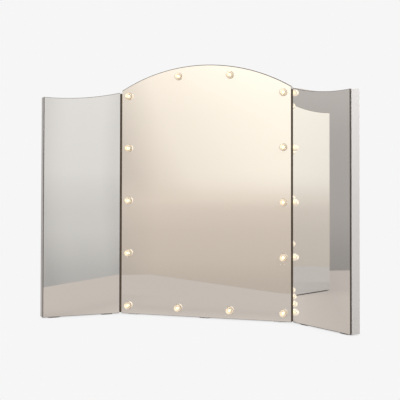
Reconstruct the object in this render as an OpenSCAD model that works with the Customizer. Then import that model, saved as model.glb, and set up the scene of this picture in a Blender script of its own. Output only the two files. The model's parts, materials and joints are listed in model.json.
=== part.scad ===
// Lighted three-panel folding vanity mirror.
// X runs to the viewer's right, Y away from the viewer and Z up.
// The origin is under the middle foot of the centre panel, on the table.

/* [Centre panel] */
// Width of the centre panel
centre_w = 378; // [340:1:420]
// Height of the centre panel's upper corners above its bottom edge
centre_corner_h = 489; // [470:1:520]
// Rise of the arched top above those corners
arch_rise = 51; // [40:1:70]

/* [Wing panels] */
// Width of one wing
wing_w = 169; // [150:1:180]
// Height of a wing at its hinge side
wing_inner_h = 484.5; // [460:0.5:500]
// Height of a wing at its outer side
wing_outer_h = 469.5; // [440:0.5:500]
// Dip of the wing's hollow top edge below the line between its corners
wing_dip = 6.2; // [3:0.1:12]
// Angle by which each wing stands folded towards the viewer from lying flat
rest_fold = 39; // [0:1:80]

/* [Panel layers] */
// Thickness of the mirror glass
glass_t = 3; // [2:0.5:5]
// Thickness of the foam sheet that carries the glass
foam_t = 1; // [0.8:0.1:2]
// Depth of the moulded casing, with its back cover
case_depth = 21.5; // [21:0.5:30]
// Thickness of the casing's front plate
plate_t = 2; // [1.5:0.1:2.4]
// Thickness of the casing's side walls
wall_t = 2.4; // [2:0.1:3]
// Thickness of the back covers
cover_t = 2; // [1.5:0.1:2.5]
// Radius on the casing's outer back edge
edge_r = 1.6; // [0.5:0.1:1.8]
// Width of the inner ledge that a cover rests on
ledge_w = 1.4; // [1:0.1:2]
// Thickness of the stiffening ribs
rib_t = 1.6; // [1:0.1:2.5]
// Height of the stiffening ribs over the front plate
rib_h = 8; // [5:0.5:8]
// Thickness of the rubber feet
foot_h = 2; // [1:0.5:4]
// Length of one rubber foot
foot_l = 26; // [18:1:36]
// Width of one rubber foot
foot_w = 14; // [10:1:16]

/* [Bulbs] */
// Outside diameter of a clear dome
bulb_d = 15; // [12:0.5:17]
// How far a dome stands out of the glass
bulb_out = 14; // [11:0.5:18]
// Wall of a dome
bulb_wall = 1.2; // [0.8:0.1:1.6]
// Distance of the outer bulb columns from the panel's side
bulb_edge = 16.5; // [16:0.5:22]
// Distance of the inner pairs from the centre line
bulb_inner_x = 57.5; // [45:0.5:65]
// Height of the lowest row
bulb_low_z = 18; // [17:0.5:20]
// Height of the highest bulb in the side columns
bulb_high_z = 476; // [440:1:478]
// Distance of the top pair below the arch
bulb_top_drop = 19.5; // [18:0.5:24]
// Diameter of the light-emitting lamp inside a dome
lamp_d = 5; // [3:0.5:5]

/* [Hinges] */
// Gap between the panels at a seam
seam_gap = 4; // [4:0.1:5]
// Outer diameter of the hinge barrel
barrel_d = 3.8; // [3.4:0.1:3.8]
// Diameter of the hinge pin
pin_d = 1.8; // [1.4:0.1:2]
// Radial running clearance of the pin
pin_clear = 0.05; // [0.03:0.01:0.08]
// Thickness of a hinge leaf
leaf_t = 1; // [0.8:0.1:1.1]
// Distance from the hinge axis to a leaf's back edge
leaf_depth = 18; // [16:0.5:19]
// Number of knuckles on one hinge, both leaves together
knuckles = 19; // [11:2:23]
// Number of screws in one leaf
leaf_screws = 7; // [4:1:9]
// Distance between the hinge and the ends of the wing's inner side
hinge_margin = 3; // [2:0.5:10]

/* [Battery compartment] */
// Diameter of a cell
cell_d = 14.5; // [13.5:0.1:14.6]
// Length of a cell with its nub
cell_l = 50.5; // [48:0.1:52]
// Length of a contact spring as fitted
spring_l = 4.5; // [3.5:0.1:6]
// Height of the compartment's lower end above the panel's bottom edge
tray_z = 46; // [44:1:52]
// Wall of the battery tray
tray_wall = 1.6; // [1:0.1:2]

/* [Driver board, switch and inlet] */
// Distance of the board's centre from the panel's centre line
board_x = 68; // [68:1:72]
// Height of the board's centre
board_z = 78; // [76:1:86]
// Length of the board
board_l = 52; // [48:1:54]
// Width of the board
board_w = 30; // [28:1:34]
// Travel of the switch knob
switch_travel = 4; // [2:0.5:4]

/* [Screws] */
// Shank diameter of a cover screw
cover_screw_d = 2.5; // [2:0.1:3]
// Head diameter of a cover screw
cover_head_d = 5; // [4:0.1:5.6]
// Shank diameter of a hinge screw
leaf_screw_d = 2; // [1.6:0.1:2.4]

/* [Hidden] */
$fn = 64;

// Cuts start this far past the face that they open
past = 1;
// Clearance between parts that fit together without moving
fit = 0.05;
// Clearance between a loose part and its opening
loose = 0.3;
// Clearance round the pieces that move in an opening
running = 0.4;

total_t = glass_t + foam_t + case_depth;
front_y = -total_t / 2;
case_y = glass_t + foam_t;
plate_back = case_y + plate_t;
cover_y = total_t - cover_t;
rib_back = plate_back + rib_h;
glass_inset = 0.3;
foam_inset = 2;
ledge_depth = 2;

centre_h = centre_corner_h + arch_rise;
arch_r = (pow(centre_w / 2, 2) + pow(arch_rise, 2)) / (2 * arch_rise);
arch_z = centre_h - arch_r;
function arch_height(x) = arch_z + sqrt(arch_r * arch_r - x * x);

wing_x = seam_gap / 2;
wing_drop = wing_inner_h - wing_outer_h;
wing_chord = sqrt(wing_w * wing_w + wing_drop * wing_drop);
scoop_r = wing_chord * wing_chord / (8 * wing_dip) + wing_dip / 2;
scoop_x = wing_x + wing_w / 2 + (scoop_r - wing_dip) * wing_drop / wing_chord;
scoop_z = (wing_inner_h + wing_outer_h) / 2 + (scoop_r - wing_dip) * wing_w / wing_chord;
function wing_height(x) = scoop_z - sqrt(scoop_r * scoop_r - pow(x - scoop_x, 2));

hinge_x = centre_w / 2 + seam_gap / 2;
hinge_low = hinge_margin;
hinge_l = wing_inner_h - 2 * hinge_margin;
knuckle_pitch = hinge_l / knuckles;
knuckle_gap = 0.3;
barrel_r = barrel_d / 2;
bore_r = pin_d / 2 + pin_clear;
pin_head_h = 0.8;
pin_head_d = barrel_d - 0.4;
leaf_x = seam_gap / 2 - leaf_t;
leaf_start = barrel_r + loose;
leaf_screw_y = (case_y + leaf_depth) / 2;
leaf_screw_l = 7;
leaf_screw_pitch = (hinge_l - knuckle_pitch) / (leaf_screws - 1);
rail_w = 4.5;

side_bulbs = 5;
bulb_r = bulb_d / 2;
bulb_cyl = bulb_out - bulb_r;
column_x = centre_w / 2 - bulb_edge;
column_pitch = (bulb_high_z - bulb_low_z) / (side_bulbs - 1);
top_pair_z = arch_height(bulb_inner_x) - bulb_top_drop;
bulb_places = concat(
    [for (i = [0:side_bulbs - 1]) [-column_x, bulb_low_z + i * column_pitch]],
    [for (i = [0:side_bulbs - 1]) [column_x, bulb_low_z + i * column_pitch]],
    [for (side = [-1, 1]) [side * bulb_inner_x, top_pair_z]],
    [for (side = [-1, 1]) [side * bulb_inner_x, bulb_low_z]]
);
flange_w = 1.7;
spacer_rim = 0.7;
spacer_d = lamp_d + 2 * spacer_rim;
spacer_front = 1;
lamp_body = 6;
led_board_w = 10;
led_board_t = 1;
led_board_over = 8;

cover_screw_l = 11;
cover_head_t = 1;
boss_wall = 2.2;
boss_r = cover_screw_d / 2 + boss_wall;
boss_side = 39;
boss_end = 48;
boss_x = centre_w / 2 - boss_side;
low_boss_rise = 20;
low_boss_x = board_x + 10;
top_boss_drop = 22;
centre_boss_places = [
    for (side = [-1, 1])
        each [
            [side * boss_x, boss_end],
            [side * boss_x, centre_corner_h / 2],
            [side * boss_x, centre_corner_h - boss_end],
            [side * low_boss_x, bulb_low_z + low_boss_rise],
            [side * bulb_inner_x, top_pair_z - top_boss_drop]
        ]
];
wing_boss_side = 18;
wing_boss_end = 26;
wing_boss_places = [
    for (x = [wing_x + wing_boss_side, wing_x + wing_w - wing_boss_side])
        each [[x, wing_boss_end], [x, wing_height(x) / 2], [x, wing_height(x) - wing_boss_end]]
];

rib_margin = 40;
centre_rib_rows = 4;
wing_rib_rows = 4;
rib_side_gap = 16;
rib_side_x = board_x + board_l / 2 + rib_side_gap;
rib_board_gap = 11;

cells = 4;
cell_gap = 0.9;
cell_pitch = cell_d + cell_gap;
nub_d = 5.5;
nub_h = 1;
contact_t = 0.4;
contact_w = 8;
tray_floor = 1.2;
tray_in_w = cells * cell_pitch + cell_gap;
tray_in_l = cell_l + spring_l + 2 * contact_t;
tray_floor_y = plate_back + tray_floor;
cell_y = tray_floor_y + cell_d / 2 + fit;
door_hole_w = tray_in_w - 2 * loose;
door_hole_l = tray_in_l - 2 * loose;
door_hole_z = tray_z + loose;
door_w = door_hole_w - 2 * running;
door_l = door_hole_l - 2 * running;
door_z = door_hole_z + running;
door_tab_w = 5;
door_tab_t = 1.2;
door_tab_reach = 3;
door_tab_x = cell_pitch;
door_tab_room = 1;
catch_w = 14;
catch_l = 13;
catch_slot = 1;
grip_bars = 3;
grip_pitch = 2.4;
grip_t = 0.9;
grip_out = 0.45;
grip_end = 2;

board_t = 1.6;
board_back = rib_back + board_t;
post_r = 3;
post_pin_r = 1.4;
post_pin_out = 1;
post_inset = 5;
post_places = [
    for (side = [-1, 1])
        [board_x + side * (board_l / 2 - post_inset), board_z + side * (board_w / 2 - post_inset)]
];
switch_x = board_x - 12;
switch_wall = 2;
switch_floor = 1.2;
inlet_x = board_x + 13;
knob_w = 3.4;
knob_h = 3;
knob_out = 0.8;
knob_slot_w = knob_w + switch_travel + 2 * running;
knob_slot_h = knob_h + 2 * running;
switch_l = knob_slot_w + 2 * switch_wall;
switch_h = knob_slot_h + 2 * switch_wall;
switch_depth = 5.5;
inlet_w = 9;
inlet_h = 3.2;
inlet_wall = 0.3;
inlet_floor = 1;
inlet_tongue_t = 0.7;
inlet_lead_in = 2;
inlet_depth = cover_y - board_back - loose;

// Frames. A panel's own frame has its front face on y = 0 and its bottom edge on z = 0.
module on_centre() {
    translate([0, front_y, foot_h]) children();
}

// The hinge frame's origin is on the hinge axis, with x pointing out of the centre panel.
module at_hinge(side) {
    mirror([side < 0 ? 1 : 0, 0, 0]) translate([hinge_x, front_y, foot_h]) children();
}

module on_wing(side) {
    at_hinge(side) rotate([0, 0, -rest_fold]) children();
}

// Outlines in the panel's face, drawn inset from the real edge by $inset.
module centre_outline() {
    intersection() {
        translate([0, arch_z]) circle(r = arch_r - $inset, $fn = 360);
        translate([-centre_w / 2 + $inset, $inset]) square([centre_w - 2 * $inset, centre_h]);
    }
}

module wing_outline() {
    difference() {
        translate([wing_x + $inset, $inset]) square([wing_w - 2 * $inset, wing_inner_h]);
        translate([scoop_x, scoop_z]) circle(r = scoop_r + $inset, $fn = 720);
    }
}

module inset_by(d) {
    $inset = d;
    children();
}

// A flat layer of a panel, from depth y backwards.
module slab(y, t, inset = 0) {
    $inset = inset;
    translate([0, y + t, 0]) rotate([90, 0, 0]) linear_extrude(t) children();
}

module rim(y, t, outer, inner) {
    slab(y, t) difference() {
        inset_by(outer) children();
        inset_by(inner) children();
    }
}

// A round bar along Y, from depth y backwards.
module peg(x, z, r, y, l) {
    translate([x, y + l, z]) rotate([90, 0, 0]) cylinder(r = r, h = l);
}

// A box given by its centre in the panel's face and its depth range.
module block(x, z, w, h, y, l) {
    translate([x - w / 2, y, z - h / 2]) cube([w, l, h]);
}

// What a radius takes off an outer corner at the origin.
module corner_cut() {
    difference() {
        translate([-edge_r, -edge_r]) square(edge_r + past);
        translate([-edge_r, -edge_r]) circle(r = edge_r);
    }
}

module side_edge_cut(x, h, turned) {
    translate([x, total_t, -past]) mirror([turned ? 1 : 0, 0, 0]) linear_extrude(h + 2 * past) corner_cut();
}

module bottom_edge_cut(x, w) {
    translate([x - past, total_t, 0]) rotate([0, 90, 0]) linear_extrude(w + 2 * past) corner_cut();
}

module ring_edge_cut(x, z, r, hollow) {
    translate([x, 0, z]) rotate([-90, 0, 0]) rotate_extrude($fn = 360)
        translate([r, total_t]) mirror([hollow ? 1 : 0, 0]) corner_cut();
}

module centre_edge_cuts() {
    side_edge_cut(centre_w / 2, centre_h, false);
    side_edge_cut(-centre_w / 2, centre_h, true);
    bottom_edge_cut(-centre_w / 2, centre_w);
    ring_edge_cut(0, arch_z, arch_r, false);
}

module wing_edge_cuts() {
    side_edge_cut(wing_x + wing_w, wing_inner_h, false);
    side_edge_cut(wing_x, wing_inner_h, true);
    bottom_edge_cut(wing_x, wing_w);
    ring_edge_cut(scoop_x, scoop_z, scoop_r, true);
}

// Casing features
module casing_shell() {
    slab(case_y, plate_t) children();
    rim(case_y, case_depth, 0, wall_t) children();
    rim(cover_y - ledge_depth, ledge_depth, wall_t / 2, wall_t + ledge_w) children();
}

module boss(place) {
    peg(place[0], place[1], boss_r, plate_back - fit, cover_y - plate_back + fit);
}

module boss_bore(place) {
    peg(place[0], place[1], cover_screw_d / 2 + fit, cover_y - cover_screw_l, cover_screw_l + past);
}

module rib(x0, z0, x1, z1) {
    translate([x0 - rib_t / 2, plate_back - fit, z0 - rib_t / 2])
        cube([x1 - x0 + rib_t, rib_h + fit, z1 - z0 + rib_t]);
}

// The thickened wall that the hinge screws bite into, in the hinge frame.
module hinge_rail() {
    translate([wing_x + wall_t / 2, case_y + plate_t / 2, hinge_low])
        cube([wall_t / 2 + rail_w, leaf_depth - case_y - plate_t / 2, hinge_l]);
}

module hinge_screw_bores() {
    for (i = [0:leaf_screws - 1])
        translate([leaf_x, leaf_screw_y, leaf_screw_z(i)])
            rotate([0, 90, 0]) cylinder(r = leaf_screw_d / 2 + fit, h = leaf_t + wall_t + rail_w + past);
}

function leaf_screw_z(i) = hinge_low + knuckle_pitch / 2 + i * leaf_screw_pitch;

// Centre panel
module centre_mirror_glass() {
    color("lightsteelblue") on_centre() difference() {
        slab(0, glass_t, glass_inset) centre_outline();
        for (p = bulb_places) peg(p[0], p[1], bulb_r + loose, -past, glass_t + 2 * past);
    }
}

module centre_foam_sheet() {
    color("black") on_centre() difference() {
        slab(glass_t, foam_t, foam_inset) centre_outline();
        for (p = bulb_places)
            peg(p[0], p[1], bulb_r + flange_w + loose, glass_t - past, foam_t + 2 * past);
    }
}

module centre_casing() {
    color("silver") on_centre() difference() {
        union() {
            casing_shell() centre_outline();
            for (p = centre_boss_places) boss(p);
            for (p = post_places) {
                peg(p[0], p[1], post_r, plate_back - fit, rib_h + fit);
                peg(p[0], p[1], post_pin_r, rib_back - fit, board_t + post_pin_out);
            }
            centre_ribs();
            for (side = [-1, 1])
                mirror([side < 0 ? 1 : 0, 0, 0]) translate([hinge_x, 0, 0]) mirror([1, 0, 0]) hinge_rail();
        }
        centre_edge_cuts();
        for (p = bulb_places) peg(p[0], p[1], spacer_d / 2 + loose, case_y - past, plate_t + 2 * past);
        for (p = centre_boss_places) boss_bore(p);
        for (side = [-1, 1])
            mirror([side < 0 ? 1 : 0, 0, 0])
                translate([hinge_x, 0, 0]) mirror([1, 0, 0]) hinge_screw_bores();
    }
}

module centre_ribs() {
    rib_low = tray_z + tray_in_l + rib_margin;
    rib_high = top_pair_z - rib_margin;
    rib_foot = bulb_low_z + led_board_w / 2 + rib_board_gap;
    rib(0, rib_low, 0, rib_high);
    for (i = [0:centre_rib_rows - 1]) {
        z = rib_low + i * (rib_high - rib_low) / (centre_rib_rows - 1);
        rib(-boss_x, z, boss_x, z);
    }
    for (side = [-1, 1]) rib(side * rib_side_x, rib_foot, side * rib_side_x, rib_high);
}

module centre_back_cover() {
    color("gainsboro") on_centre() difference() {
        slab(cover_y, cover_t, wall_t + loose) centre_outline();
        for (p = centre_boss_places) cover_screw_hole(p);
        block(0, door_hole_z + door_hole_l / 2, door_hole_w, door_hole_l, cover_y - past, cover_t + 2 * past);
        peg(0, door_hole_z + door_hole_l, catch_w / 2, total_t - cover_t / 2, cover_t);
        block(switch_x + switch_travel / 2, board_z, knob_slot_w, knob_slot_h, cover_y - past, cover_t + 2 * past);
        inlet_shape(inlet_w + 2 * running, inlet_h + 2 * running, cover_y - past, cover_t + 2 * past);
        inlet_shape(inlet_w + 2 * inlet_lead_in, inlet_h + 2 * inlet_lead_in, total_t - cover_t / 2, cover_t);
    }
}

module cover_screw_hole(p) {
    peg(p[0], p[1], cover_screw_d / 2 + loose, cover_y - past, cover_t + 2 * past);
    peg(p[0], p[1], cover_head_d / 2 + loose, total_t - cover_head_t, cover_head_t + past);
}

module cover_screw(p) {
    peg(p[0], p[1], cover_screw_d / 2, total_t - cover_head_t - cover_screw_l, cover_screw_l + cover_head_t / 2);
    peg(p[0], p[1], cover_head_d / 2, total_t - cover_head_t, cover_head_t - fit);
}

module centre_cover_screws() {
    color("dimgray") on_centre() for (p = centre_boss_places) cover_screw(p);
}

module foot(x) {
    span = foot_l - foot_w;
    translate([x, total_t / 2, -foot_h]) linear_extrude(foot_h) {
        square([span, foot_w], center = true);
        for (side = [-1, 1]) translate([side * span / 2, 0]) circle(r = foot_w / 2);
    }
}

module centre_feet() {
    reach = centre_w / 2 - foot_l;
    color("black") on_centre() for (i = [-1:1]) foot(i * reach);
}

// Bulbs
module bulb_profile(r, flange) {
    intersection() {
        translate([0, -case_y]) square([bulb_r + flange_w, bulb_out + case_y]);
        union() {
            translate([0, bulb_cyl]) circle(r = r);
            translate([0, -case_y]) square([r, case_y + bulb_cyl]);
            if (flange) translate([0, -case_y + fit]) square([bulb_r + flange_w, foam_t - 2 * fit]);
        }
    }
}

module bulb_dome(number) {
    p = bulb_places[number - 1];
    color("whitesmoke") on_centre() translate([p[0], 0, p[1]]) rotate([90, 0, 0]) rotate_extrude() difference() {
        intersection() {
            bulb_profile(bulb_r, true);
            translate([0, -case_y + fit]) square([bulb_d, bulb_out + case_y]);
        }
        bulb_profile(bulb_r - bulb_wall, false);
    }
}

module led_lamps() {
    color("lightyellow") on_centre() for (p = bulb_places) translate([p[0], 0, p[1]]) rotate([90, 0, 0]) {
        translate([0, 0, -spacer_front]) cylinder(d = lamp_d, h = lamp_body);
        translate([0, 0, lamp_body - spacer_front]) sphere(d = lamp_d - fit);
    }
}

module led_spacers() {
    color("white") on_centre() for (p = bulb_places)
        peg(p[0], p[1], spacer_d / 2, spacer_front, plate_back - spacer_front);
}

module led_board(x, z, w, h) {
    color("darkgreen") on_centre() block(x, z, w, h, plate_back, led_board_t);
}

module led_column_board(side) {
    led_board(side * column_x, (bulb_low_z + bulb_high_z) / 2, led_board_w,
        bulb_high_z - bulb_low_z + 2 * led_board_over);
}

module led_board_left() {
    led_column_board(-1);
}

module led_board_right() {
    led_column_board(1);
}

module led_board_top() {
    led_board(0, top_pair_z, 2 * bulb_inner_x + 2 * led_board_over, led_board_w);
}

module led_board_bottom() {
    led_board(0, bulb_low_z, 2 * bulb_inner_x + 2 * led_board_over, led_board_w);
}

// Wiring: one lead from the driver board to each lamp board and to the battery tray. A lead starts
// beside the board's edge, runs over the ribs and dips to the lamp board at its end.
wire_r = 0.9;
wire_y = rib_back + wire_r + fit;
wire_end_y = plate_back + led_board_t + wire_r;
wire_start = wire_r + fit;
wire_dip = 8;
wire_gap = 6;
wire_top_z = board_z + board_w / 2 + wire_start;
wire_bottom_z = board_z - board_w / 2 - wire_start;
wire_left_x = board_x - board_l / 2 + wire_r + 3 * fit;
wire_low_z = bulb_low_z + led_board_w / 2 + wire_gap;
wire_routes = [
    [[wire_left_x, wire_top_z], [wire_left_x, top_pair_z - wire_dip], [wire_left_x, top_pair_z]],
    [[board_x + board_l / 2 + wire_start, board_z], [column_x - wire_dip, board_z], [column_x, board_z]],
    [[wire_left_x, wire_bottom_z], [wire_left_x, wire_low_z],
     [wire_dip - column_x, wire_low_z], [-column_x, wire_low_z]],
    [[wire_left_x + wire_gap, wire_bottom_z], [wire_left_x + wire_gap, wire_low_z - wire_r],
     [wire_left_x + wire_gap, bulb_low_z]]
];
tray_lead = [
    [board_x - board_l / 2 - wire_start, board_z],
    [tray_in_w / 2 + tray_wall + wire_start, board_z]
];

module lead(route, end_y) {
    last = len(route) - 1;
    points = [for (i = [0:last]) [route[i][0], i == last ? end_y : wire_y, route[i][1]]];
    for (i = [0:last - 1]) hull() {
        translate(points[i]) sphere(r = wire_r, $fn = 8);
        translate(points[i + 1]) sphere(r = wire_r, $fn = 8);
    }
}

module wiring_loom() {
    color("firebrick") on_centre() {
        for (route = wire_routes) lead(route, wire_end_y);
        lead(tray_lead, wire_y);
    }
}

// Driver board, switch and power inlet
module driver_board() {
    color("darkgreen") on_centre() difference() {
        block(board_x, board_z, board_l, board_w, rib_back, board_t);
        for (p = post_places) peg(p[0], p[1], post_pin_r + fit, rib_back - past, board_t + 2 * past);
    }
}

module switch_body() {
    color("dimgray") on_centre() difference() {
        block(switch_x + switch_travel / 2, board_z, switch_l, switch_h, board_back, switch_depth);
        block(switch_x + switch_travel / 2, board_z, knob_slot_w, knob_slot_h, board_back + switch_floor,
            switch_depth);
    }
}

module switch_slider() {
    knob_y = board_back + switch_floor + loose;
    color("black") on_centre() block(switch_x, board_z, knob_w, knob_h, knob_y, total_t + knob_out - knob_y);
}

module inlet_shape(w, h, y, l) {
    translate([inlet_x, y + l, board_z]) rotate([90, 0, 0]) linear_extrude(l) {
        square([w - h, h], center = true);
        for (side = [-1, 1]) translate([side * (w - h) / 2, 0]) circle(d = h);
    }
}

module power_inlet() {
    color("silver") on_centre() {
        difference() {
            inlet_shape(inlet_w, inlet_h, board_back, inlet_depth);
            inlet_shape(inlet_w - 2 * inlet_wall, inlet_h - 2 * inlet_wall, board_back + inlet_floor,
                inlet_depth);
        }
        block(inlet_x, board_z, inlet_w - inlet_h, inlet_tongue_t, board_back, inlet_depth - inlet_floor);
    }
}

// Battery compartment
module battery_tray() {
    out_w = tray_in_w + 2 * tray_wall;
    out_l = tray_in_l + 2 * tray_wall;
    mid_z = tray_z + tray_in_l / 2;
    color("gainsboro") on_centre() difference() {
        block(0, mid_z, out_w, out_l, plate_back, cover_y - plate_back);
        block(0, mid_z, tray_in_w, tray_in_l, tray_floor_y, cover_y);
        for (side = [-1, 1])
            block(side * door_tab_x, tray_z - tray_wall / 2, door_tab_w + 2 * door_tab_room,
                tray_wall + 2 * fit, cover_y - door_tab_reach - door_tab_room,
                door_tab_reach + door_tab_room + past);
    }
}

module battery_cell(number) {
    x = (number - (cells + 1) / 2) * cell_pitch;
    nub_up = number % 2 == 0;
    low = tray_z + contact_t + (nub_up ? spring_l : 0);
    color("goldenrod") on_centre() translate([x, cell_y, nub_up ? low : low + cell_l])
        mirror([0, 0, nub_up ? 0 : 1]) {
            cylinder(d = cell_d, h = cell_l - nub_h);
            cylinder(d = nub_d, h = cell_l);
        }
}

spring_turns = 4;
spring_wire_r = 0.35;
spring_low_r = 4.2;
spring_high_r = 2.4;
spring_play = 0.1;
spring_steps = 8;
spring_sides = 6;

// A conical contact spring as one swept wire, standing on z = 0.
module contact_spring() {
    steps = spring_turns * spring_steps;
    rise = spring_l - 2 * spring_wire_r - spring_play;
    points = [
        for (i = [0:steps])
            let (turn = 360 * i / spring_steps, r = spring_low_r + (spring_high_r - spring_low_r) * i / steps)
                for (k = [0:spring_sides - 1])
                    let (a = 360 * k / spring_sides, across = r + spring_wire_r * cos(a))
                        [across * cos(turn), across * sin(turn),
                         spring_wire_r + rise * i / steps + spring_wire_r * sin(a)]
    ];
    walls = [
        for (i = [0:steps - 1])
            for (k = [0:spring_sides - 1])
                let (a = i * spring_sides + k, b = i * spring_sides + (k + 1) % spring_sides)
                    each [[a, b, b + spring_sides], [a, b + spring_sides, a + spring_sides]]
    ];
    low_cap = [for (k = [1:spring_sides - 2]) [0, k + 1, k]];
    top = steps * spring_sides;
    high_cap = [for (k = [1:spring_sides - 2]) [top, top + k, top + k + 1]];
    polyhedron(points = points, faces = concat(walls, low_cap, high_cap));
}

module battery_contacts() {
    color("silver") on_centre() for (number = [1:cells]) {
        x = (number - (cells + 1) / 2) * cell_pitch;
        for (z = [tray_z, tray_z + tray_in_l - contact_t])
            translate([x - contact_w / 2, cell_y - contact_w / 2, z]) cube([contact_w, contact_w, contact_t]);
        translate([x, cell_y, tray_z + (number % 2 == 0 ? contact_t : tray_in_l - contact_t)])
            mirror([0, 0, number % 2 == 0 ? 0 : 1]) contact_spring();
    }
}

module battery_door() {
    top = door_z + door_l;
    color("gainsboro") on_centre() {
        difference() {
            block(0, door_z + door_l / 2, door_w, door_l, cover_y, cover_t);
            for (side = [-1, 1])
                block(side * catch_w / 2, top - catch_l / 2 + past, catch_slot, catch_l + 2 * past,
                    cover_y - past, cover_t + 2 * past);
        }
        for (i = [1:grip_bars])
            block(0, top - i * grip_pitch, catch_w - 2 * grip_end, grip_t, total_t - fit, grip_out + fit);
        for (side = [-1, 1])
            block(side * door_tab_x, door_z, door_tab_w, 2 * door_tab_reach,
                cover_y - loose - door_tab_t, door_tab_t);
        for (side = [-1, 1])
            block(side * door_tab_x, door_z + door_tab_reach / 2 + loose, door_tab_w, door_tab_reach - 2 * loose,
                cover_y - loose - fit, loose + 2 * fit);
    }
}

// Hinges
module hinge_leaf(first) {
    difference() {
        union() {
            translate([leaf_x, leaf_start, hinge_low]) cube([leaf_t, leaf_depth - leaf_start, hinge_l]);
            for (i = [first:2:knuckles - 1])
                translate([0, 0, hinge_low + i * knuckle_pitch + knuckle_gap / 2]) {
                    cylinder(r = barrel_r, h = knuckle_pitch - knuckle_gap);
                    translate([leaf_x, 0, 0]) cube([leaf_t, leaf_start + fit, knuckle_pitch - knuckle_gap]);
                }
        }
        translate([0, 0, hinge_low - past]) cylinder(r = bore_r, h = hinge_l + 2 * past);
        for (i = [0:leaf_screws - 1])
            translate([leaf_x, leaf_screw_y, leaf_screw_z(i)]) rotate([0, 90, 0]) {
                translate([0, 0, -past]) cylinder(r = leaf_screw_d / 2 + fit, h = leaf_t + 2 * past);
                leaf_screw_head(fit, 0);
            }
    }
}

// The sunk head, which fills the leaf's thickness; the leaf's countersink is the same cone, grown.
module leaf_screw_head(grow, short) {
    cylinder(r1 = leaf_screw_d / 2 + leaf_t + grow - short, r2 = leaf_screw_d / 2 + grow, h = leaf_t - short);
}

module hinge_screws() {
    color("dimgray") for (i = [0:leaf_screws - 1])
        translate([leaf_x, leaf_screw_y, leaf_screw_z(i)]) rotate([0, 90, 0]) {
            translate([0, 0, fit]) leaf_screw_head(0, fit);
            translate([0, 0, leaf_t / 2]) cylinder(d = leaf_screw_d, h = leaf_t / 2 + leaf_screw_l);
        }
}

module hinge_pin() {
    color("darkslategray") {
        translate([0, 0, hinge_low - pin_head_h / 2]) cylinder(d = pin_d, h = hinge_l + pin_head_h);
        for (z = [hinge_low - pin_head_h, hinge_low + hinge_l])
            translate([0, 0, z]) cylinder(d = pin_head_d, h = pin_head_h);
    }
}

module centre_leaf(side) {
    color("darkslategray") at_hinge(side) mirror([1, 0, 0]) hinge_leaf(0);
}

module wing_leaf(side) {
    color("darkslategray") on_wing(side) hinge_leaf(1);
}

module left_hinge_centre_leaf() {
    centre_leaf(-1);
}

module left_hinge_wing_leaf() {
    wing_leaf(-1);
}

module left_hinge_pin() {
    at_hinge(-1) hinge_pin();
}

module left_hinge_centre_screws() {
    at_hinge(-1) mirror([1, 0, 0]) hinge_screws();
}

module left_hinge_wing_screws() {
    on_wing(-1) hinge_screws();
}

module right_hinge_centre_leaf() {
    centre_leaf(1);
}

module right_hinge_wing_leaf() {
    wing_leaf(1);
}

module right_hinge_pin() {
    at_hinge(1) hinge_pin();
}

module right_hinge_centre_screws() {
    at_hinge(1) mirror([1, 0, 0]) hinge_screws();
}

module right_hinge_wing_screws() {
    on_wing(1) hinge_screws();
}

// Wings
module wing_glass(side) {
    color("lightsteelblue") on_wing(side) slab(0, glass_t, glass_inset) wing_outline();
}

module wing_foam(side) {
    color("black") on_wing(side) slab(glass_t, foam_t, foam_inset) wing_outline();
}

module wing_casing(side) {
    color("silver") on_wing(side) difference() {
        union() {
            casing_shell() wing_outline();
            for (p = wing_boss_places) boss(p);
            wing_ribs();
            hinge_rail();
        }
        wing_edge_cuts();
        for (p = wing_boss_places) boss_bore(p);
        hinge_screw_bores();
    }
}

module wing_ribs() {
    low_x = wing_x + wall_t + rail_w / 2;
    high_x = wing_x + wing_w - wall_t / 2;
    mid_x = wing_x + wing_w / 2;
    row_pitch = wing_height(mid_x) / (wing_rib_rows + 1);
    for (i = [1:wing_rib_rows]) rib(low_x, i * row_pitch, high_x, i * row_pitch);
    rib(mid_x, wall_t, mid_x, wing_rib_rows * row_pitch);
}

module wing_back_cover(side) {
    color("gainsboro") on_wing(side) difference() {
        slab(cover_y, cover_t, wall_t + loose) wing_outline();
        for (p = wing_boss_places) cover_screw_hole(p);
    }
}

module wing_cover_screws(side) {
    color("dimgray") on_wing(side) for (p = wing_boss_places) cover_screw(p);
}

module wing_feet(side) {
    color("black") on_wing(side) for (x = [wing_x + foot_l, wing_x + wing_w - foot_l]) foot(x);
}

module left_mirror_glass() {
    wing_glass(-1);
}

module left_foam_sheet() {
    wing_foam(-1);
}

module left_casing() {
    wing_casing(-1);
}

module left_back_cover() {
    wing_back_cover(-1);
}

module left_cover_screws() {
    wing_cover_screws(-1);
}

module left_feet() {
    wing_feet(-1);
}

module right_mirror_glass() {
    wing_glass(1);
}

module right_foam_sheet() {
    wing_foam(1);
}

module right_casing() {
    wing_casing(1);
}

module right_back_cover() {
    wing_back_cover(1);
}

module right_cover_screws() {
    wing_cover_screws(1);
}

module right_feet() {
    wing_feet(1);
}

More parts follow.
